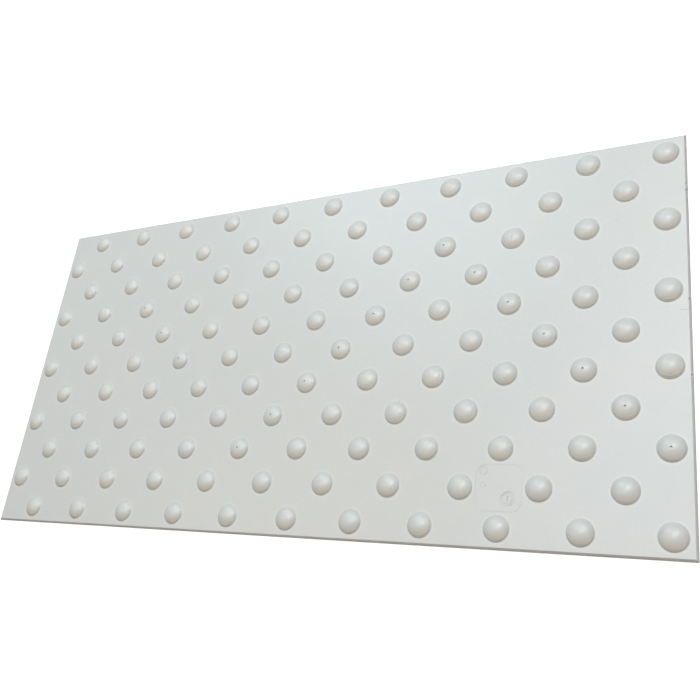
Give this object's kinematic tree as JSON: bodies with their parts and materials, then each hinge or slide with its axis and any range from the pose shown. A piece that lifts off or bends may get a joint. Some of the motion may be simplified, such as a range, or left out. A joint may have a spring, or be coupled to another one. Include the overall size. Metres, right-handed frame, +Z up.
{
  "type": "tactile paving slab",
  "caption": "Thin oblong moulded sheet with bevelled edges and a staggered field of low round domes, glued to the ground to warn people with impaired sight of a hazard.",
  "frame": {"origin": "middle of the flat underside, on the ground", "axes": "+X along the length, towards the short end that a dome of the outermost rows stands close to; +Y across the width; +Z up, the way the domes point"},
  "size_m": [0.825, 0.4124, 0.008],
  "materials": {
    "moulded_polymer": "pale off-white moulded polymer, fine satin, a little soiled"
  },
  "bodies": {
    "root": {"tactile_slab": "moulded_polymer"}
  },
  "joints": []
}
